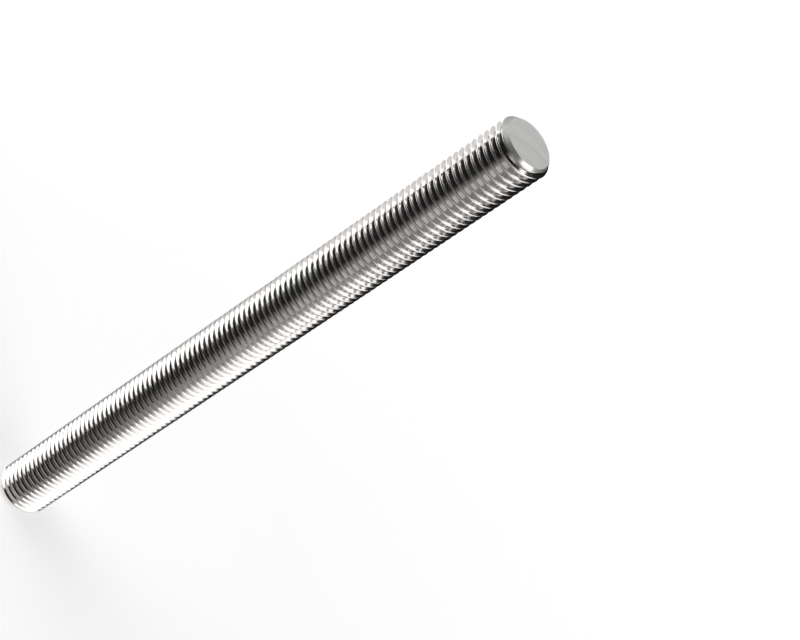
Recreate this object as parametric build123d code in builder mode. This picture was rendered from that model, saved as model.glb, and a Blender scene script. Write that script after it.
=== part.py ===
from build123d import *
from math import radians, tan
import os

# Fully threaded rod with a metric coarse thread, rolled in one piece.
# The rod stands on its lower end face: the origin is that face's centre and
# +Z runs along the rod. All sizes are in millimetres.

# Driving dimensions
nominal_diameter = 16.0    # across the thread crests
thread_pitch = 2.0         # rise of the thread in one turn
rod_length = 200.0         # from end face to end face
chamfer_angle = 45.0       # between the chamfer and the rod's axis
chamfer_below_root = 0.17  # how far inside the thread root the end face's edge lies

# Depth of the metric external thread from crest to root, as a share of the pitch
depth_to_pitch = 0.6134

# Sizes that follow
crest_radius = nominal_diameter / 2
root_radius = crest_radius - depth_to_pitch * thread_pitch
end_face_radius = root_radius - chamfer_below_root
chamfer_depth = crest_radius - end_face_radius
chamfer_length = chamfer_depth / tan(radians(chamfer_angle))

# The rod as the thread crests bound it, with a chamfer at each end that
# reaches inside the thread root, so that a nut starts without cross-threading.
with BuildPart() as threaded_rod:
    with BuildSketch(Plane.XZ) as half_section:
        with BuildLine():
            Polyline(
                (0, 0),
                (end_face_radius, 0),
                (crest_radius, chamfer_length),
                (crest_radius, rod_length - chamfer_length),
                (end_face_radius, rod_length),
                (0, rod_length),
                close=True,
            )
        make_face()
    revolve(axis=Axis.Z)

threaded_rod.part.label = "threaded_rod"

os.makedirs("parts", exist_ok=True)
export_step(threaded_rod.part, "parts/threaded_rod.step")
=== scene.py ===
"""A fully threaded steel rod, standing on its lower end face in a plain white studio."""

import logging
import math
from dataclasses import dataclass, field
from enum import Enum

import bpy
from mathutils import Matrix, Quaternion, Vector


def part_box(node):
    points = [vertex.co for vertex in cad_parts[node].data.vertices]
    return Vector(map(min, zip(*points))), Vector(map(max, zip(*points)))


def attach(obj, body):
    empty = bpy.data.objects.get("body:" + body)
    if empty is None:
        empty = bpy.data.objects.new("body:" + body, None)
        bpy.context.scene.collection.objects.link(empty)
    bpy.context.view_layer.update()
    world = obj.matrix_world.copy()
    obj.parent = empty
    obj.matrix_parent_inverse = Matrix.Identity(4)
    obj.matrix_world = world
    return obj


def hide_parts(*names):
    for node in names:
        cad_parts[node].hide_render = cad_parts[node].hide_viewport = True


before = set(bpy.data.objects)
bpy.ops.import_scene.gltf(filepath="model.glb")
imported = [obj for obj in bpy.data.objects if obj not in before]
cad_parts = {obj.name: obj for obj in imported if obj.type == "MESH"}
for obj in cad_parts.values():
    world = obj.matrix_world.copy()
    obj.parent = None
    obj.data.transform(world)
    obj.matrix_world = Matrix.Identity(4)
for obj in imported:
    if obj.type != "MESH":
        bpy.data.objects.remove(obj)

log = logging.getLogger("threaded_rod")

# The imported solid that the rod's visual form stands for, and its body
ROD_NODE = "threaded_rod"
ROD_BODY = "root"

FULL_TURN = 2 * math.pi
MILLIMETRE = 0.001

Colour = tuple[float, float, float]

# What a node's input takes: another node's output, or a plain value
Source = bpy.types.NodeSocket | float | tuple[float, ...]

# Sockets of Blender's Mix node when it mixes colours
MIX_SHARE = 0
MIX_FIRST = 6
MIX_SECOND = 7
MIX_RESULT = 2

WHITE = (1.0, 1.0, 1.0, 1.0)

# Nearly all of a noise texture's values lie between these two
NOISE_LOW = 0.3
NOISE_HIGH = 0.7


class Surface(Enum):
    """The rod's surfaces, each with its own finish, in the order of the mesh's material slots."""

    THREAD = 0
    CHAMFER = 1
    END_FACE = 2


class Change(Enum):
    """How a mapped value changes between its two ends, by Blender's names."""

    EVEN = "LINEAR"
    EASED = "SMOOTHSTEP"


@dataclass(frozen=True)
class SectionPoint:
    """One point of the thread's section along the rod.

    Args:
        rise: height above the middle of the crest, in metres.
        radius: distance from the rod's axis, in metres.
        tilt: angle of the surface's normal above level, in radians.
    """

    rise: float
    radius: float
    tilt: float


@dataclass(frozen=True)
class ThreadSection:
    """The metric thread's section over one pitch, with rolled crests and round roots.

    Args:
        pitch: rise of the thread in one turn, in metres.
        crest_radius: radius of the rod at the crests, in metres.
        flank_angle: angle between a flank and the plane across the rod, in radians.
        crest_flat_share: width of the sharp-cornered crest flat, as a share of the pitch.
        root_rounding_share: radius of the root's curve, as a share of the pitch.
        crest_rounding: radius that rolling leaves on the crest's corners, in metres.
        crest_steps: stretches of each crest corner's curve.
        root_steps: stretches of the root's curve.
    """

    pitch: float
    crest_radius: float
    flank_angle: float = math.radians(30)
    crest_flat_share: float = 1 / 8
    root_rounding_share: float = 0.1443
    crest_rounding: float = 0.19 * MILLIMETRE
    crest_steps: int = 3
    root_steps: int = 5

    def flank_tilt(self) -> float:
        """Returns the tilt of an upper flank's normal."""
        return math.pi / 2 - self.flank_angle

    def crest_half(self) -> list[SectionPoint]:
        """Rounds the crest's upper corner.

        Returns:
            Points from the crest's flat down to the start of the upper flank.
        """
        sharp_edge = self.pitch * self.crest_flat_share / 2
        centre_rise = sharp_edge - self.crest_rounding * math.tan(self.flank_tilt() / 2)
        centre_radius = self.crest_radius - self.crest_rounding
        points = []
        for step in range(self.crest_steps + 1):
            tilt = self.flank_tilt() * step / self.crest_steps
            rise = centre_rise + self.crest_rounding * math.sin(tilt)
            radius = centre_radius + self.crest_rounding * math.cos(tilt)
            points.append(SectionPoint(rise, radius, tilt))
        return points

    def root(self) -> list[SectionPoint]:
        """Rounds the root.

        Returns:
            Points from the foot of the upper flank, through the root, to the foot of the next flank.
        """
        rounding = self.pitch * self.root_rounding_share
        sharp_edge = self.pitch * self.crest_flat_share / 2
        centre_rise = self.pitch / 2
        # The flank's line and the curve's centre lie one rounding radius apart
        drop = (centre_rise - sharp_edge) / math.tan(self.flank_angle)
        centre_radius = self.crest_radius - drop + rounding / math.sin(self.flank_angle)
        points = []
        for step in range(self.root_steps + 1):
            tilt = self.flank_tilt() * (1 - 2 * step / self.root_steps)
            rise = centre_rise - rounding * math.sin(tilt)
            radius = centre_radius - rounding * math.cos(tilt)
            points.append(SectionPoint(rise, radius, tilt))
        return points

    def points(self) -> list[SectionPoint]:
        """Joins one pitch of the section.

        Returns:
            Points from a crest's middle up to the next crest's.
        """
        upper = self.crest_half()
        lower = [SectionPoint(self.pitch - p.rise, p.radius, -p.tilt) for p in reversed(upper)]
        return upper + self.root() + lower


@dataclass
class Station:
    """One point of the rod's wall at a given angle.

    Args:
        height: height above the lower end face, in metres.
        radius: distance from the axis, in metres.
        tilt: tilt of the thread's normal there, in radians.
        chamfered: whether the point lies on a chamfer.
    """

    height: float
    radius: float
    tilt: float
    chamfered: bool = False


@dataclass(frozen=True)
class EndForm:
    """The cut ends of the rod: a flat face and a chamfer that the thread runs out into.

    Args:
        length: length of the rod, in metres.
        crest_radius: radius at the crests, in metres.
        face_radius: radius of the flat end face, in metres.
        chamfer_angle: angle between the chamfer and the axis, in radians.
        face_rings: rings of mesh across an end face.
    """

    length: float
    crest_radius: float
    face_radius: float
    chamfer_angle: float = math.radians(45)
    face_rings: int = 4

    def limit(self, height: float) -> float:
        """Returns the largest radius that the chamfers leave at a height."""
        from_end = min(height, self.length - height)
        return min(self.crest_radius, self.face_radius + from_end * math.tan(self.chamfer_angle))

    def chamfer_tilt(self, height: float) -> float:
        """Returns the tilt of the normal of the chamfer nearest to a height."""
        tilt = self.chamfer_angle
        return tilt if height > self.length / 2 else -tilt

    def crossing(self, inside: Station, outside: Station) -> Station:
        """Finds where a stretch of the thread's section runs into a chamfer.

        Args:
            inside: the stretch's end within the chamfer's cone.
            outside: its end beyond the cone.

        Returns:
            The point on both, with the thread's tilt there.
        """
        short_of = self.limit(inside.height) - inside.radius
        past = outside.radius - self.limit(outside.height)
        share = short_of / (short_of + past)
        height = inside.height + share * (outside.height - inside.height)
        tilt = inside.tilt + share * (outside.tilt - inside.tilt)
        return Station(height, self.limit(height), tilt, True)

    def trim(self, stations: list[Station]) -> None:
        """Cuts a line of stations back to the chamfers, and keeps their number.

        Args:
            stations: the thread's section at one angle, from below the rod to above it.
        """
        slack = 1e-9
        beyond = [s.radius > self.limit(s.height) + slack for s in stations]
        start = 0
        while start < len(stations):
            if not beyond[start]:
                start += 1
                continue
            end = start
            while end + 1 < len(stations) and beyond[end + 1]:
                end += 1
            self.trim_run(stations, start, end)
            start = end + 1

    def trim_run(self, stations: list[Station], start: int, end: int) -> None:
        """Lays one run of stations that stand beyond a chamfer onto it.

        Args:
            stations: the thread's section at one angle.
            start: index of the run's first station.
            end: index of its last.
        """
        first = self.crossing(stations[start - 1], stations[start]) if start > 0 else None
        closed = end + 1 < len(stations)
        last = self.crossing(stations[end + 1], stations[end]) if closed else None
        if first and last and end > start:
            for index in range(start, end + 1):
                share = (index - start) / (end - start)
                height = first.height + share * (last.height - first.height)
                stations[index] = Station(height, self.limit(height), first.tilt, True)
            stations[end] = last
        else:
            for index in range(start, end + 1):
                height = stations[index].height
                stations[index] = Station(height, self.limit(height), 0.0, True)
            if last:
                stations[end] = last
        if first:
            stations[start] = first


@dataclass
class ThreadedRod:
    """The rod: a right-hand thread along its whole length, chamfered into a flat face at each end.

    Args:
        length: length of the rod, in metres.
        crest_radius: radius at the thread's crests, in metres.
        pitch: rise of the thread in one turn, in metres.
        face_radius: radius of the flat end faces, in metres.
        crest_height: height of a crest above the lower end face on the side of +X, in metres.
        columns: lines of mesh round the rod.
    """

    length: float
    crest_radius: float
    pitch: float = 2.0 * MILLIMETRE
    face_radius: float = 6.603 * MILLIMETRE
    crest_height: float = 0.12 * MILLIMETRE
    columns: int = 60
    section: ThreadSection = field(init=False)
    ends: EndForm = field(init=False)
    points: list[tuple[float, float, float]] = field(default_factory=list)
    faces: list[tuple[int, ...]] = field(default_factory=list)
    normals: list[tuple[float, float, float]] = field(default_factory=list)
    surfaces: list[Surface] = field(default_factory=list)

    def __post_init__(self) -> None:
        """Works out the thread's section and the ends from the rod's sizes."""
        self.section = ThreadSection(self.pitch, self.crest_radius)
        self.ends = EndForm(self.length, self.crest_radius, self.face_radius)

    def stations(self, angle: float) -> list[Station]:
        """Makes the wall's section at one angle.

        Args:
            angle: angle round the axis from +X, in radians.

        Returns:
            Points from below the rod to above it, cut back to the chamfers.
        """
        spare_turns = 3
        turns = math.ceil(self.length / self.pitch) + 2 * spare_turns
        foot = self.crest_height + self.pitch * (angle / FULL_TURN - spare_turns)
        stations = []
        for turn in range(turns):
            for point in self.section.points():
                height = foot + turn * self.pitch + point.rise
                stations.append(Station(height, point.radius, point.tilt))
        self.ends.trim(stations)
        return stations

    def normal(self, angle: float, station: Station, chamfered: bool) -> tuple[float, float, float]:
        """Works out the outward normal at a station.

        Args:
            angle: angle round the axis from +X, in radians.
            station: the station.
            chamfered: whether the normal is the chamfer's, and not the thread's.

        Returns:
            The normal, one long.
        """
        if chamfered:
            tilt = self.ends.chamfer_tilt(station.height)
            lead = 0.0
        else:
            tilt = station.tilt
            lead = self.pitch / (FULL_TURN * station.radius)
        outward = math.cos(tilt)
        along = math.sin(tilt)
        # The thread climbs as it turns, so its normal leans back round the rod
        around = -along * lead
        size = math.sqrt(outward**2 + along**2 + around**2)
        x = outward * math.cos(angle) - around * math.sin(angle)
        y = outward * math.sin(angle) + around * math.cos(angle)
        return (x / size, y / size, along / size)

    def build_wall(self) -> tuple[list[int], list[int]]:
        """Makes the threaded wall and the chamfers.

        Returns:
            The points of the lower and of the upper end face's edge.
        """
        angles = [FULL_TURN * column / self.columns for column in range(self.columns)]
        lines = [self.stations(angle) for angle in angles]
        lower_edge = [self.add_point(self.face_radius, angle, 0.0) for angle in angles]
        upper_edge = [self.add_point(self.face_radius, angle, self.length) for angle in angles]
        numbers = []
        for column, line in enumerate(lines):
            row = []
            for station in line:
                if station.height <= 0:
                    row.append(lower_edge[column])
                elif station.height >= self.length:
                    row.append(upper_edge[column])
                else:
                    row.append(self.add_point(station.radius, angles[column], station.height))
            numbers.append(row)
        per_turn = len(self.section.points())
        for column in range(self.columns):
            beside = (column + 1) % self.columns
            # One full turn brings the thread up by a pitch, so the last column meets the first a pitch on
            shift = per_turn if beside == 0 else 0
            for row in range(len(lines[column]) - 1 - shift):
                corners = (
                    (column, row),
                    (beside, row + shift),
                    (beside, row + shift + 1),
                    (column, row + 1),
                )
                self.add_wall_face(corners, lines, numbers, angles)
        return lower_edge, upper_edge

    def add_wall_face(
        self,
        corners: tuple[tuple[int, int], ...],
        lines: list[list[Station]],
        numbers: list[list[int]],
        angles: list[float],
    ) -> None:
        """Adds one face of the wall, unless it has shrunk to nothing beyond an end.

        Args:
            corners: column and row of each corner.
            lines: the stations of each column.
            numbers: the point number of each station.
            angles: the angle of each column.
        """
        fewest_corners = 3
        kept: dict[int, tuple[int, int]] = {}
        for column, row in corners:
            kept.setdefault(numbers[column][row], (column, row))
        if len(kept) < fewest_corners:
            return
        chamfered = all(lines[column][row].chamfered for column, row in corners)
        self.faces.append(tuple(kept))
        self.surfaces.append(Surface.CHAMFER if chamfered else Surface.THREAD)
        for column, row in kept.values():
            self.normals.append(self.normal(angles[column], lines[column][row], chamfered))

    def add_point(self, radius: float, angle: float, height: float) -> int:
        """Adds a point given by its radius, angle and height, and returns its number."""
        self.points.append((radius * math.cos(angle), radius * math.sin(angle), height))
        return len(self.points) - 1

    def build_end(self, edge: list[int], height: float, up: bool) -> None:
        """Closes one end with a flat face of concentric rings.

        Args:
            edge: point numbers of the face's edge, anticlockwise from above.
            height: height of the face.
            up: whether the face looks up.
        """
        outer = edge
        for ring in range(1, self.ends.face_rings):
            radius = self.face_radius * (1 - ring / self.ends.face_rings)
            inner = [
                self.add_point(radius, FULL_TURN * column / self.columns, height)
                for column in range(self.columns)
            ]
            for column in range(self.columns):
                beside = (column + 1) % self.columns
                self.add_end_face((outer[column], outer[beside], inner[beside], inner[column]), up)
            outer = inner
        centre = self.add_point(0.0, 0.0, height)
        for column in range(self.columns):
            self.add_end_face((outer[column], outer[(column + 1) % self.columns], centre), up)

    def add_end_face(self, corners: tuple[int, ...], up: bool) -> None:
        """Adds one face of an end, wound so that it looks out of the rod.

        Args:
            corners: point numbers of its corners, anticlockwise from above.
            up: whether it looks up.
        """
        self.faces.append(corners if up else corners[::-1])
        self.surfaces.append(Surface.END_FACE)
        self.normals.extend([(0.0, 0.0, 1.0 if up else -1.0)] * len(corners))

    def build(self) -> bpy.types.Object:
        """Builds the rod's mesh.

        Returns:
            The rod as one object; dress gives it a material slot for each of its surfaces.
        """
        lower_edge, upper_edge = self.build_wall()
        self.build_end(lower_edge, 0.0, up=False)
        self.build_end(upper_edge, self.length, up=True)
        mesh = bpy.data.meshes.new("rolled_rod")
        mesh.from_pydata(self.points, [], self.faces)
        mesh.shade_smooth()
        mesh.normals_split_custom_set(self.normals)
        rod = bpy.data.objects.new("rolled_rod", mesh)
        bpy.context.scene.collection.objects.link(rod)
        return rod

    def dress(self, rod: bpy.types.Object) -> None:
        """Gives each surface of the rod its finish.

        Args:
            rod: the object that build made.
        """
        finishes = {
            Surface.THREAD: RolledFinish(self.pitch, self.crest_height, self.crest_radius),
            Surface.CHAMFER: TurnedFinish(),
            Surface.END_FACE: SawnFinish(),
        }
        for surface in Surface:
            rod.data.materials.append(finishes[surface].material())
        rod.data.polygons.foreach_set("material_index", [s.value for s in self.surfaces])
        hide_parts(ROD_NODE)
        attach(rod, ROD_BODY)


@dataclass
class NodeBoard:
    """A small helper that adds shader nodes and wires them.

    Args:
        tree: the node tree that the nodes go into.
    """

    tree: bpy.types.NodeTree

    def add(self, kind: str, **settings: object) -> bpy.types.Node:
        """Adds a node.

        Args:
            kind: Blender's name for its kind.
            settings: its properties.

        Returns:
            The node.
        """
        node = self.tree.nodes.new(kind)
        for name, value in settings.items():
            setattr(node, name, value)
        return node

    def feed(self, source: Source, node: bpy.types.Node, socket: str | int) -> None:
        """Sets one input of a node.

        Args:
            source: what the input takes.
            node: the node.
            socket: name or number of the input.
        """
        if isinstance(source, bpy.types.NodeSocket):
            self.tree.links.new(source, node.inputs[socket])
        else:
            node.inputs[socket].default_value = source

    def math(self, operation: str, first: Source, second: Source = 0.0) -> bpy.types.NodeSocket:
        """Adds a math node.

        Args:
            operation: Blender's name for what it works out.
            first: first operand.
            second: second operand.

        Returns:
            Its result.
        """
        node = self.add("ShaderNodeMath", operation=operation)
        self.feed(first, node, 0)
        self.feed(second, node, 1)
        return node.outputs[0]

    def vector(self, x: Source, y: Source, z: Source) -> bpy.types.NodeSocket:
        """Joins three values to a vector.

        Args:
            x: first value.
            y: second value.
            z: third value.

        Returns:
            The vector.
        """
        node = self.add("ShaderNodeCombineXYZ")
        for socket, value in enumerate((x, y, z)):
            self.feed(value, node, socket)
        return node.outputs[0]

    def split(self, vector: Source) -> tuple[bpy.types.NodeSocket, ...]:
        """Splits a vector.

        Args:
            vector: the vector.

        Returns:
            Its three values.
        """
        node = self.add("ShaderNodeSeparateXYZ")
        self.feed(vector, node, 0)
        return tuple(node.outputs)

    def place(self, kind: str = "Object") -> bpy.types.NodeSocket:
        """Returns the place of the shaded point, in the coordinates of the kind named."""
        return self.add("ShaderNodeTexCoord").outputs[kind]

    def noise(self, place: Source, scale: float, detail: float) -> bpy.types.NodeSocket:
        """Adds a noise texture.

        Args:
            place: where it is read.
            scale: how many of its blots lie in a unit of place.
            detail: how many finer noises it adds.

        Returns:
            Its value, from 0 to 1.
        """
        node = self.add("ShaderNodeTexNoise")
        self.feed(place, node, "Vector")
        self.feed(scale, node, "Scale")
        self.feed(detail, node, "Detail")
        return node.outputs["Fac"]

    def remap(
        self,
        value: Source,
        ends: tuple[float, float],
        results: tuple[float, float],
        change: Change = Change.EVEN,
    ) -> bpy.types.NodeSocket:
        """Maps a value from one range to another.

        Args:
            value: the value, which is held within its range.
            ends: the two ends of its range.
            results: the result at either end.
            change: how the result changes between them.

        Returns:
            The result.
        """
        node = self.add("ShaderNodeMapRange", interpolation_type=change.value)
        self.feed(value, node, "Value")
        for socket, number in zip(("From Min", "From Max", "To Min", "To Max"), (*ends, *results)):
            self.feed(number, node, socket)
        return node.outputs[0]

    def span(self, noise: Source, low: float, high: float) -> bpy.types.NodeSocket:
        """Returns a noise texture's value, spread over a range."""
        return self.remap(noise, (NOISE_LOW, NOISE_HIGH), (low, high))

    def mix_colours(self, share: Source, first: Source, second: Source) -> bpy.types.NodeSocket:
        """Mixes two colours.

        Args:
            share: how much of the second, from 0 to 1.
            first: first colour.
            second: second colour.

        Returns:
            The mixed colour.
        """
        node = self.add("ShaderNodeMix", data_type="RGBA")
        self.feed(share, node, MIX_SHARE)
        self.feed(first, node, MIX_FIRST)
        self.feed(second, node, MIX_SECOND)
        return node.outputs[MIX_RESULT]

    def bump(self, height: Source, distance: float, strength: float) -> bpy.types.NodeSocket:
        """Adds a bump node.

        Args:
            height: height of the relief, from 0 to 1.
            distance: depth of the relief, in metres.
            strength: how much of it shows.

        Returns:
            Its normal.
        """
        node = self.add("ShaderNodeBump")
        self.feed(height, node, "Height")
        self.feed(distance, node, "Distance")
        self.feed(strength, node, "Strength")
        return node.outputs[0]

    def show(self, surface: bpy.types.NodeSocket) -> None:
        """Makes a shader the material's surface."""
        self.feed(surface, self.add("ShaderNodeOutputMaterial"), "Surface")


def opaque(colour: Colour) -> tuple[float, float, float, float]:
    """Returns a colour as Blender's sockets take it, fully opaque."""
    return (*colour, 1.0)


def new_material(name: str) -> tuple[bpy.types.Material, NodeBoard, bpy.types.Node]:
    """Makes a material with a metal shader.

    Args:
        name: the material's name.

    Returns:
        The material, a board for its nodes, and its shader.
    """
    material = bpy.data.materials.new(name)
    material.use_nodes = True
    shader = material.node_tree.nodes["Principled BSDF"]
    shader.inputs["Metallic"].default_value = 1.0
    return material, NodeBoard(material.node_tree), shader


def new_paint(name: str) -> tuple[bpy.types.Material, NodeBoard]:
    """Makes a material that has no nodes yet.

    Args:
        name: the material's name.

    Returns:
        The material and a board for its nodes.
    """
    material = bpy.data.materials.new(name)
    material.use_nodes = True
    material.node_tree.nodes.clear()
    return material, NodeBoard(material.node_tree)


def grey_between(board: NodeBoard, value: Source, dark: Colour, light: Colour) -> bpy.types.NodeSocket:
    """Blends two colours by a noise value.

    Args:
        board: the material's nodes.
        value: the noise, from 0 to 1.
        dark: colour where the noise is low.
        light: colour where it is high.

    Returns:
        The blended colour.
    """
    return board.mix_colours(board.span(value, 0.0, 1.0), opaque(dark), opaque(light))


@dataclass(frozen=True)
class RolledFinish:
    """Bright rolled stainless steel, with fine marks that run along the thread.

    Args:
        pitch: rise of the thread in one turn, in metres.
        crest_height: height of a crest above the lower end face on the side of +X, in metres.
        crest_radius: radius at the crests, in metres.
        dark: colour of the duller streaks.
        light: colour of the brighter streaks.
        smooth: roughness of the brighter streaks.
        rough: roughness of the duller streaks.
        crest_extra: how much rougher the crests are, which the rolls leave unpolished.
        crest_depth: how far below the crests that reaches, in metres.
        mark_width: width of a roll mark, in metres.
        mark_length: length of a roll mark, in turns of the thread.
        mark_depth: depth of the roll marks, in metres.
        mark_detail: how many finer marks are added.
        patches: how many brighter or duller patches lie in a metre.
        patch_detail: how many finer patches are added.
    """

    pitch: float
    crest_height: float
    crest_radius: float
    dark: Colour = (0.61, 0.59, 0.575)
    light: Colour = (0.7, 0.68, 0.665)
    smooth: float = 0.1
    rough: float = 0.17
    crest_extra: float = 0.12
    crest_depth: float = 0.06 * MILLIMETRE
    mark_width: float = 0.16 * MILLIMETRE
    mark_length: float = 0.3
    mark_depth: float = 0.005 * MILLIMETRE
    mark_detail: float = 2.0
    patches: float = 120.0
    patch_detail: float = 3.0

    def material(self) -> bpy.types.Material:
        """Makes the finish.

        Returns:
            The finish as a material.
        """
        material, board, shader = new_material("rolled_steel")
        place = board.place()
        x, y, z = board.split(place)
        turned = board.math("DIVIDE", board.math("ARCTAN2", y, x), FULL_TURN)
        # Height above the thread's own crest line, in turns
        height = board.math("DIVIDE", board.math("SUBTRACT", z, self.crest_height), self.pitch)
        rise = board.math("SUBTRACT", height, turned)
        turn = board.math("FLOOR", rise)
        across = board.math("MULTIPLY", board.math("SUBTRACT", rise, turn), self.pitch / self.mark_width)
        along = board.math("DIVIDE", board.math("ADD", turn, turned), self.mark_length)
        marks = board.noise(board.vector(across, along, 0.0), 1.0, self.mark_detail)
        patches = board.noise(place, self.patches, self.patch_detail)
        board.feed(grey_between(board, patches, self.dark, self.light), shader, "Base Color")
        square = board.math("ADD", board.math("MULTIPLY", x, x), board.math("MULTIPLY", y, y))
        reach = board.math("SQRT", square)
        crest_foot = self.crest_radius - self.crest_depth
        crest = board.remap(reach, (crest_foot, self.crest_radius), (0.0, self.crest_extra))
        rough = board.math("ADD", board.span(marks, self.smooth, self.rough), crest)
        board.feed(rough, shader, "Roughness")
        board.feed(board.bump(marks, self.mark_depth, 1.0), shader, "Normal")
        return material


@dataclass(frozen=True)
class TurnedFinish:
    """The chamfer's finish: dull, with the fine rings that turning leaves, and a painted highlight on one
    side, where it is also smoother.

    Args:
        dark: colour of the duller rings.
        light: colour of the brighter rings.
        painted_highlight: colour of the painted highlight, a brighter grey on one side.
        smooth: roughness of the brighter rings.
        rough: roughness of the duller rings.
        highlight_smoothing: how much smoother the side with the painted highlight is.
        bearing: bearing of the middle of the painted highlight, from +X, in radians.
        reach: how far round the painted highlight goes each way, in radians.
        ring_count: how many blots of the rings lie in a metre round the rod.
        ring_stretch: how much closer they lie along the rod than round it.
        ring_detail: how many finer rings are added.
        ring_depth: depth of the rings, in metres.
        ring_strength: how much of their relief shows.
    """

    dark: Colour = (0.31, 0.31, 0.3)
    light: Colour = (0.42, 0.42, 0.41)
    painted_highlight: Colour = (0.72, 0.71, 0.69)
    smooth: float = 0.48
    rough: float = 0.58
    highlight_smoothing: float = 0.28
    bearing: float = math.radians(-58)
    reach: float = math.radians(22)
    ring_count: float = 180.0
    ring_stretch: float = 60.0
    ring_detail: float = 3.0
    ring_depth: float = 0.01 * MILLIMETRE
    ring_strength: float = 0.5

    def material(self) -> bpy.types.Material:
        """Makes the finish.

        Returns:
            The finish as a material.
        """
        material, board, shader = new_material("turned_steel")
        x, y, z = board.split(board.place())
        stretched = board.vector(x, y, board.math("MULTIPLY", z, self.ring_stretch))
        rings = board.noise(stretched, self.ring_count, self.ring_detail)
        # Angle from the middle of the painted highlight, as its cosine
        facing = board.add("ShaderNodeVectorMath", operation="DOT_PRODUCT")
        level = board.add("ShaderNodeVectorMath", operation="NORMALIZE")
        board.feed(board.vector(x, y, 0.0), level, 0)
        board.feed(level.outputs[0], facing, 0)
        board.feed((math.cos(self.bearing), math.sin(self.bearing), 0.0), facing, 1)
        side = board.remap(facing.outputs["Value"], (math.cos(self.reach), 1.0), (0.0, 1.0), Change.EASED)
        dull = grey_between(board, rings, self.dark, self.light)
        # A brighter grey is painted on one side of the chamfer: a painted highlight
        board.feed(board.mix_colours(side, dull, opaque(self.painted_highlight)), shader, "Base Color")
        smoothed = board.math("MULTIPLY", side, self.highlight_smoothing)
        rough = board.math("SUBTRACT", board.span(rings, self.smooth, self.rough), smoothed)
        board.feed(rough, shader, "Roughness")
        board.feed(board.bump(rings, self.ring_depth, self.ring_strength), shader, "Normal")
        return material


@dataclass(frozen=True)
class SawnFinish:
    """The end face's finish: sawn in long, slightly curved strokes, then brushed.

    Args:
        dark: colour of the duller strokes.
        light: colour of the brighter strokes.
        smooth: roughness of the brighter strokes.
        rough: roughness of the duller strokes.
        stroke_angle: direction of the strokes from +X, in radians.
        stroke_radius: radius that the strokes curve by, in metres.
        stretch: width of a stroke, as a share of its length.
        fine: how many fine strokes lie in a metre.
        broad: how many broad bands do.
        fine_detail: how many finer strokes are added.
        broad_detail: how many finer bands are.
        stroke_depth: depth of the strokes, in metres.
        stroke_strength: how much of their relief shows.
    """

    dark: Colour = (0.58, 0.58, 0.57)
    light: Colour = (0.84, 0.84, 0.83)
    smooth: float = 0.34
    rough: float = 0.5
    stroke_angle: float = math.radians(-28)
    stroke_radius: float = 18.0 * MILLIMETRE
    stretch: float = 0.07
    fine: float = 2200.0
    broad: float = 420.0
    fine_detail: float = 5.0
    broad_detail: float = 2.0
    stroke_depth: float = 0.02 * MILLIMETRE
    stroke_strength: float = 0.5

    def material(self) -> bpy.types.Material:
        """Makes the finish.

        Returns:
            The finish as a material.
        """
        material, board, shader = new_material("sawn_steel")
        turn = board.add("ShaderNodeVectorRotate", rotation_type="Z_AXIS")
        board.feed(board.place(), turn, "Vector")
        board.feed(self.stroke_angle, turn, "Angle")
        along, across, height = board.split(turn.outputs[0])
        bend = board.math("DIVIDE", board.math("MULTIPLY", along, along), 2 * self.stroke_radius)
        curved = board.math("ADD", across, bend)
        grain = board.vector(board.math("MULTIPLY", along, self.stretch), curved, height)
        strokes = board.noise(grain, self.fine, self.fine_detail)
        bands = board.noise(grain, self.broad, self.broad_detail)
        # The mean of the strokes and the bands
        both = board.math("MULTIPLY", board.math("ADD", strokes, bands), 1 / 2)
        board.feed(grey_between(board, both, self.dark, self.light), shader, "Base Color")
        board.feed(board.span(both, self.smooth, self.rough), shader, "Roughness")
        board.feed(board.bump(strokes, self.stroke_depth, self.stroke_strength), shader, "Normal")
        return material


@dataclass(frozen=True)
class StudioFloor:
    """The plain white floor that the rod stands on.

    Args:
        radius: how far the floor reaches, in metres.
        colour: the floor's grey.
        near_glow: how white the floor is seen near the rod, apart from the light that falls on it.
        far_glow: the same far from the rod, where little light falls.
        glow_start: distance from the rod's axis up to which it stays near_glow, in metres.
        glow_end: distance from which it is far_glow, in metres.
        sides: corners of the floor's round edge.
    """

    radius: float = 5.0
    colour: float = 0.8
    near_glow: float = 0.5
    far_glow: float = 0.95
    glow_start: float = 0.1
    glow_end: float = 1.3
    sides: int = 96

    def build(self) -> bpy.types.Object:
        """Makes the floor.

        Returns:
            The floor, an object of its own beside the rod.
        """
        points = []
        for side in range(self.sides):
            angle = FULL_TURN * side / self.sides
            points.append((self.radius * math.cos(angle), self.radius * math.sin(angle), 0.0))
        mesh = bpy.data.meshes.new("studio_floor")
        mesh.from_pydata(points, [], [tuple(range(self.sides))])
        mesh.materials.append(self.material())
        floor = bpy.data.objects.new("studio_floor", mesh)
        bpy.context.scene.collection.objects.link(floor)
        return floor

    def material(self) -> bpy.types.Material:
        """Makes the floor's paint.

        Returns:
            A pale paint that is seen white, also in the steel, and keeps the rod's shadow.
        """
        material, board = new_paint("studio_floor")
        seen = seen_ray(board)
        paint = board.add("ShaderNodeBsdfDiffuse")
        board.feed(opaque((self.colour, self.colour, self.colour)), paint, "Color")
        glow = board.add("ShaderNodeEmission")
        apart = board.add("ShaderNodeVectorMath", operation="LENGTH")
        board.feed(board.place(), apart, 0)
        glow_ends = (self.glow_start, self.glow_end)
        white = board.remap(apart.outputs["Value"], glow_ends, (self.near_glow, self.far_glow))
        board.feed(board.math("MULTIPLY", seen, white), glow, "Strength")
        both = board.add("ShaderNodeAddShader")
        board.feed(paint.outputs[0], both, 0)
        board.feed(glow.outputs[0], both, 1)
        board.show(both.outputs[0])
        return material


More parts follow.
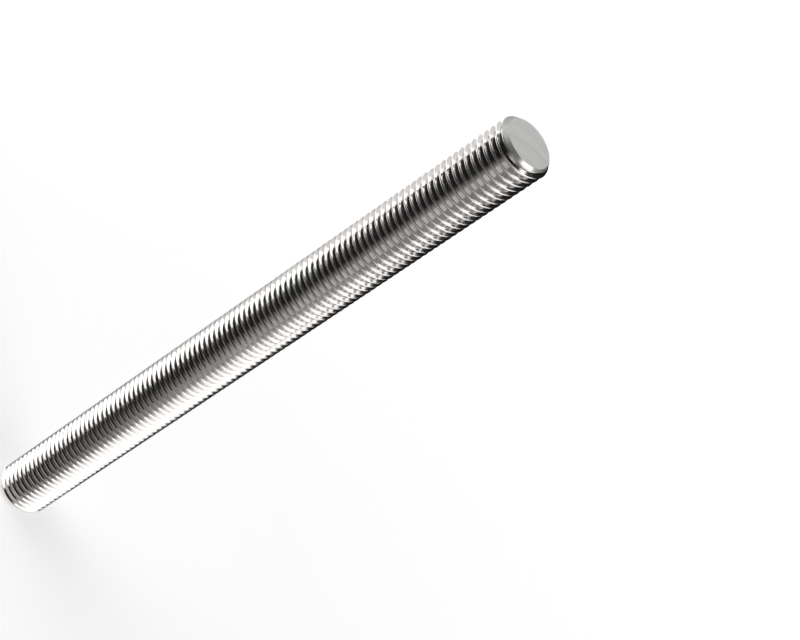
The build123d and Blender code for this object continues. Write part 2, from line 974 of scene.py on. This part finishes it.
def seen_ray(board: NodeBoard) -> bpy.types.NodeSocket:
    """Tells seen light from fill light.

    Args:
        board: the floor's nodes.

    Returns:
        1 for what the eye sees straight, in metal or through glass, and 0 for light that fills the scene.
    """
    path = board.add("ShaderNodeLightPath")
    mirrored = board.math("MAXIMUM", path.outputs["Is Glossy Ray"], path.outputs["Is Transmission Ray"])
    return board.math("MAXIMUM", path.outputs["Is Camera Ray"], mirrored)


@dataclass(frozen=True)
class StudioRoom:
    """The room round the floor: a white wall all round, under a dark ceiling.

    Args:
        wall: how white the wall is.
        ceiling: how bright the dark ceiling is.
        wall_top: height at which the wall starts to darken, as the sine of its elevation.
        ceiling_start: height at which the ceiling's dark is reached, in the same way.
    """

    wall: float = 1.0
    ceiling: float = 0.008
    wall_top: float = 0.17
    ceiling_start: float = 0.3

    def build(self) -> bpy.types.World:
        """Makes the room and sets it as the scene's world.

        Returns:
            The room.
        """
        world = bpy.data.worlds.new("studio_room")
        world.use_nodes = True
        bpy.context.scene.world = world
        board = NodeBoard(world.node_tree)
        _, _, up = board.split(board.place("Generated"))
        change_ends = (self.wall_top, self.ceiling_start)
        shade = board.remap(up, change_ends, (self.wall, self.ceiling), Change.EASED)
        background = world.node_tree.nodes["Background"]
        board.feed(WHITE, background, "Color")
        board.feed(shade, background, "Strength")
        return world


@dataclass(frozen=True)
class Softbox:
    """A flat, soft studio light that faces the rod.

    Args:
        name: the light's name.
        bearing: angle round the rod from +X, anticlockwise from above, in degrees.
        elevation: angle above the floor, in degrees.
        width: level size of the light, in metres.
        height: its other size, in metres.
        brightness: how bright its face is, where 1 is white.
        distance: distance from the middle of the rod, in metres.
    """

    name: str
    bearing: float
    elevation: float
    width: float
    height: float
    brightness: float
    distance: float = 0.9

    def build(self, aim: Vector) -> bpy.types.Object:
        """Makes the light.

        Args:
            aim: the point that it faces, in metres.

        Returns:
            The light, unseen by the camera itself.
        """
        lamp = bpy.data.lights.new(self.name, "AREA")
        lamp.shape = "RECTANGLE"
        lamp.size = self.width
        lamp.size_y = self.height
        lamp.energy = self.brightness * math.pi * self.width * self.height
        light = bpy.data.objects.new(self.name, lamp)
        bearing = math.radians(self.bearing)
        elevation = math.radians(self.elevation)
        level = math.cos(elevation)
        out = Vector((level * math.cos(bearing), level * math.sin(bearing), math.sin(elevation)))
        light.location = aim + out * self.distance
        light.rotation_mode = "QUATERNION"
        light.rotation_quaternion = (-out).to_track_quat("-Z", "Y")
        light.visible_camera = False
        bpy.context.scene.collection.objects.link(light)
        return light


# Height of the cards that lie on the floor, and of one that lies on another
FLOOR_LIFT = 1.0 * MILLIMETRE
OVERLAY_LIFT = 2.0 * MILLIMETRE

# Distance from the rod's axis and height of each bend of a card, in metres
CardSection = tuple[tuple[float, float], ...]


def flat(near: float, far: float, lift: float = FLOOR_LIFT) -> CardSection:
    """Returns the section of a card that lies flat from one distance to another."""
    return ((near, lift), (far, lift))


def upright(reach: float, foot: float, top: float) -> CardSection:
    """Returns the section of a card that stands at one distance, from its foot to its top."""
    return ((reach, foot), (reach, top))


def sweep(near: float, reach: float, top: float) -> CardSection:
    """Returns the section of a card that lies flat as far as its reach and stands up there."""
    return flat(near, reach) + upright(reach, FLOOR_LIFT, top)[1:]


@dataclass(frozen=True)
class StudioCard:
    """A plain sheet bent round the rod, which only the steel sees.

    Args:
        name: the card's name.
        start: bearing of its first side, from +X anticlockwise from above, in degrees.
        end: bearing of its other side, in degrees.
        section: the card's section, seen from its side.
        shade: how bright it is, where 1 is white.
        end_shade: how bright its other side is, where it differs; the shade changes evenly between them.
        strips: flat strips that its bend round the rod is made of.
    """

    name: str
    start: float
    end: float
    section: CardSection
    shade: float
    end_shade: float | None = None
    strips: int = 12

    def half_spread(self) -> float:
        """Returns the angle from the card's middle to either side, in radians."""
        return math.radians(self.end - self.start) / 2

    def build(self) -> bpy.types.Object:
        """Makes the card.

        Returns:
            The card, out of the camera's sight and casting no shadow.
        """
        points = []
        for strip in range(self.strips + 1):
            angle = self.half_spread() * (2 * strip / self.strips - 1)
            for reach, height in self.section:
                points.append((reach * math.cos(angle), reach * math.sin(angle), height))
        rows = len(self.section)
        faces = []
        for strip in range(self.strips):
            for row in range(rows - 1):
                first = strip * rows + row
                faces.append((first, first + 1, first + rows + 1, first + rows))
        mesh = bpy.data.meshes.new(self.name)
        mesh.from_pydata(points, [], faces)
        mesh.materials.append(self.material())
        card = bpy.data.objects.new(self.name, mesh)
        card.rotation_euler.z = math.radians(self.start + self.end) / 2
        card.visible_camera = False
        card.visible_diffuse = False
        card.visible_shadow = False
        bpy.context.scene.collection.objects.link(card)
        return card

    def material(self) -> bpy.types.Material:
        """Makes the card's paint.

        Returns:
            Its plain grey, or its even change from one grey to another.
        """
        material, board = new_paint(self.name)
        paint = board.add("ShaderNodeEmission")
        board.feed(WHITE, paint, "Color")
        shade: Source = self.shade
        if self.end_shade is not None:
            x, y, _ = board.split(board.place())
            sides = (-self.half_spread(), self.half_spread())
            shade = board.remap(board.math("ARCTAN2", y, x), sides, (self.shade, self.end_shade))
        board.feed(shade, paint, "Strength")
        board.show(paint.outputs[0])
        return material


@dataclass(frozen=True)
class PhotoCamera:
    """The camera at the photograph's place: above the rod, rolled so that the rod lies slantwise.

    Args:
        place: where the camera stands, in metres.
        aim: the point at the middle of the picture, in metres.
        roll: turn of the camera about its line of sight, in degrees.
        lens: focal length, in millimetres.
        sensor: width of the sensor, in millimetres.
        nearest: distance from which things are seen, in metres.
        farthest: distance up to which they are, in metres.
    """

    place: tuple[float, float, float] = (0.0, -0.37873, 0.41738)
    aim: tuple[float, float, float] = (0.01758, -0.00082, 0.14359)
    roll: float = 57.267
    lens: float = 87.185
    sensor: float = 36.0
    nearest: float = 0.01
    farthest: float = 50.0

    def build(self) -> bpy.types.Object:
        """Makes the camera and sets it as the scene's.

        Returns:
            The camera.
        """
        data = bpy.data.cameras.new("photo_camera")
        data.lens = self.lens
        data.sensor_width = self.sensor
        data.clip_start = self.nearest
        data.clip_end = self.farthest
        camera = bpy.data.objects.new("photo_camera", data)
        camera.location = self.place
        sight = Vector(self.aim) - Vector(self.place)
        camera.rotation_mode = "QUATERNION"
        level = sight.to_track_quat("-Z", "Y")
        camera.rotation_quaternion = level @ Quaternion((0.0, 0.0, 1.0), math.radians(self.roll))
        bpy.context.scene.collection.objects.link(camera)
        bpy.context.scene.camera = camera
        return camera


# Brightness of the lights that make the steel's white bars, and of those that only lift its greys
KEY_LIGHT = 1.7
FILL_LIGHT = 0.95

# Name, bearing, elevation, width, height and brightness of each light
STUDIO_LIGHTS = (
    Softbox("left_high_softbox", 181.0, 45.5, 0.56, 0.47, KEY_LIGHT),
    Softbox("left_low_softbox", 165.0, 31.0, 0.64, 0.6, KEY_LIGHT),
    Softbox("left_back_softbox", 127.0, 29.0, 0.6, 0.66, FILL_LIGHT),
    Softbox("right_softbox", -12.0, 46.0, 0.6, 0.88, KEY_LIGHT),
    Softbox("ceiling_softbox", -50.0, 72.0, 0.25, 0.25, 0.45),
    Softbox("back_softbox", 92.0, 38.0, 0.5, 0.4, FILL_LIGHT),
)

# Distances from the rod's axis at which the cards start, bend or end, in metres
NEAR_REACH = 0.03
FOOT_REACH = 0.22
CURB_REACH = 0.36
WALL_REACH = 0.7
SWEEP_REACH = 1.4

# Heights at which they bend or end, in metres
LOW_CURB_TOP = 0.02
MIDDLE_CURB_TOP = 0.055
BACK_CURB_TOP = 0.1
CURB_SCREEN_TOP = 0.16
SWEEP_TOP = 0.26

# Shades of the cards that come in groups
BLACK = 0.012
FOOT_GREY = 0.22
FRONT_GREY = 0.4
SCREEN_GREY = 0.25
CURB_LIGHT = 2.2
CURB_SCREEN_GREY = 0.28

# Sections of the cards
FOOT_STRIP = flat(NEAR_REACH, FOOT_REACH)
SIDE_SWEEP = sweep(0.32, SWEEP_REACH, SWEEP_TOP)
FRONT_SWEEP = sweep(FOOT_REACH, SWEEP_REACH, SWEEP_TOP)
FRONT_SCREEN = upright(SWEEP_REACH, SWEEP_TOP, 1.2)
GROOVE_STRIP = flat(0.31, 0.5, OVERLAY_LIFT)
LEFT_LOW_WALL = upright(WALL_REACH, FLOOR_LIFT, 0.18)
LEFT_BACK_SCREEN = upright(WALL_REACH, 0.15, 0.4)
LEFT_NEAR_STRIP = flat(0.02, 0.2)
RIGHT_LOW_CURB = sweep(NEAR_REACH, CURB_REACH, LOW_CURB_TOP)
RIGHT_MIDDLE_CURB = sweep(NEAR_REACH, CURB_REACH, MIDDLE_CURB_TOP)
RIGHT_BACK_CURB = sweep(NEAR_REACH, CURB_REACH, BACK_CURB_TOP)
RIGHT_LOW_SCREEN = upright(CURB_REACH, LOW_CURB_TOP, CURB_SCREEN_TOP)
RIGHT_MIDDLE_SCREEN = upright(CURB_REACH, MIDDLE_CURB_TOP, CURB_SCREEN_TOP)
RIGHT_BACK_SCREEN = upright(CURB_REACH, BACK_CURB_TOP, CURB_SCREEN_TOP)
RIGHT_HIGH_SCREEN = upright(WALL_REACH, 0.45, 0.93)
BACK_RIGHT_SWEEP = sweep(0.02, SWEEP_REACH, 0.7)

# The cards that the steel mirrors: mostly dark ones towards the camera, and bright ones at each side.
# Name, first and last bearing, section and shade of each card, and its last side's shade where it changes
STUDIO_CARDS = (
    StudioCard("black_foot_card", 186.0, 232.0, FOOT_STRIP, BLACK),
    StudioCard("dark_foot_card", 232.0, 252.0, FOOT_STRIP, BLACK, FOOT_GREY),
    StudioCard("front_foot_card", 252.0, 304.0, FOOT_STRIP, FOOT_GREY),
    StudioCard("black_side_card", 168.0, 186.0, SIDE_SWEEP, BLACK),
    StudioCard("black_card", 186.0, 250.0, FRONT_SWEEP, BLACK),
    StudioCard("dark_card", 250.0, 268.0, FRONT_SWEEP, BLACK, FRONT_GREY),
    StudioCard("front_card", 268.0, 304.0, FRONT_SWEEP, FRONT_GREY),
    StudioCard("groove_card", 272.0, 300.0, GROOVE_STRIP, 1.1),
    StudioCard("front_left_screen", 186.0, 240.0, FRONT_SCREEN, 0.7, SCREEN_GREY),
    StudioCard("front_right_screen", 240.0, 300.0, FRONT_SCREEN, SCREEN_GREY),
    StudioCard("left_low_light", 130.0, 168.0, LEFT_LOW_WALL, 1.6),
    StudioCard("left_back_screen", 120.0, 146.0, LEFT_BACK_SCREEN, 0.7, 0.05),
    StudioCard("left_near_card", 90.0, 184.0, LEFT_NEAR_STRIP, 0.15),
    StudioCard("right_low_light", 304.0, 328.0, RIGHT_LOW_CURB, 0.25, CURB_LIGHT),
    StudioCard("right_middle_light", 328.0, 345.0, RIGHT_MIDDLE_CURB, CURB_LIGHT),
    StudioCard("right_back_light", 345.0, 383.0, RIGHT_BACK_CURB, CURB_LIGHT),
    StudioCard("right_low_screen", 304.0, 328.0, RIGHT_LOW_SCREEN, CURB_SCREEN_GREY),
    StudioCard("right_middle_screen", 328.0, 345.0, RIGHT_MIDDLE_SCREEN, CURB_SCREEN_GREY),
    StudioCard("right_back_screen", 345.0, 383.0, RIGHT_BACK_SCREEN, CURB_SCREEN_GREY),
    StudioCard("right_high_light", 364.0, 392.0, RIGHT_HIGH_SCREEN, KEY_LIGHT),
    StudioCard("back_right_card", 383.0, 450.0, BACK_RIGHT_SWEEP, 0.02),
)


def main() -> None:
    """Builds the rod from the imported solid's box, then the studio and the camera."""
    logging.basicConfig(level=logging.INFO, format="%(message)s")
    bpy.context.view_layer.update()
    low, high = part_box(ROD_NODE)
    length = high[2] - low[2]
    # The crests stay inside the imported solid's box on every side
    crest_radius = min(-low[0], high[0], -low[1], high[1])
    threaded_rod = ThreadedRod(length, crest_radius)
    rod = threaded_rod.build()
    threaded_rod.dress(rod)
    log.info("rod: %d points, %d faces", len(rod.data.vertices), len(rod.data.polygons))
    log.info("floor: %s", StudioFloor().build().name)
    log.info("room: %s", StudioRoom().build().name)
    middle = Vector((0.0, 0.0, length / 2))
    for softbox in STUDIO_LIGHTS:
        softbox.build(middle)
        log.info("light: %s", softbox.name)
    for card in STUDIO_CARDS:
        card.build()
        log.info("card: %s", card.name)
    log.info("camera: %s", PhotoCamera().build().name)
    bpy.context.scene.view_settings.view_transform = "Standard"


if __name__ == "__main__":
    main()
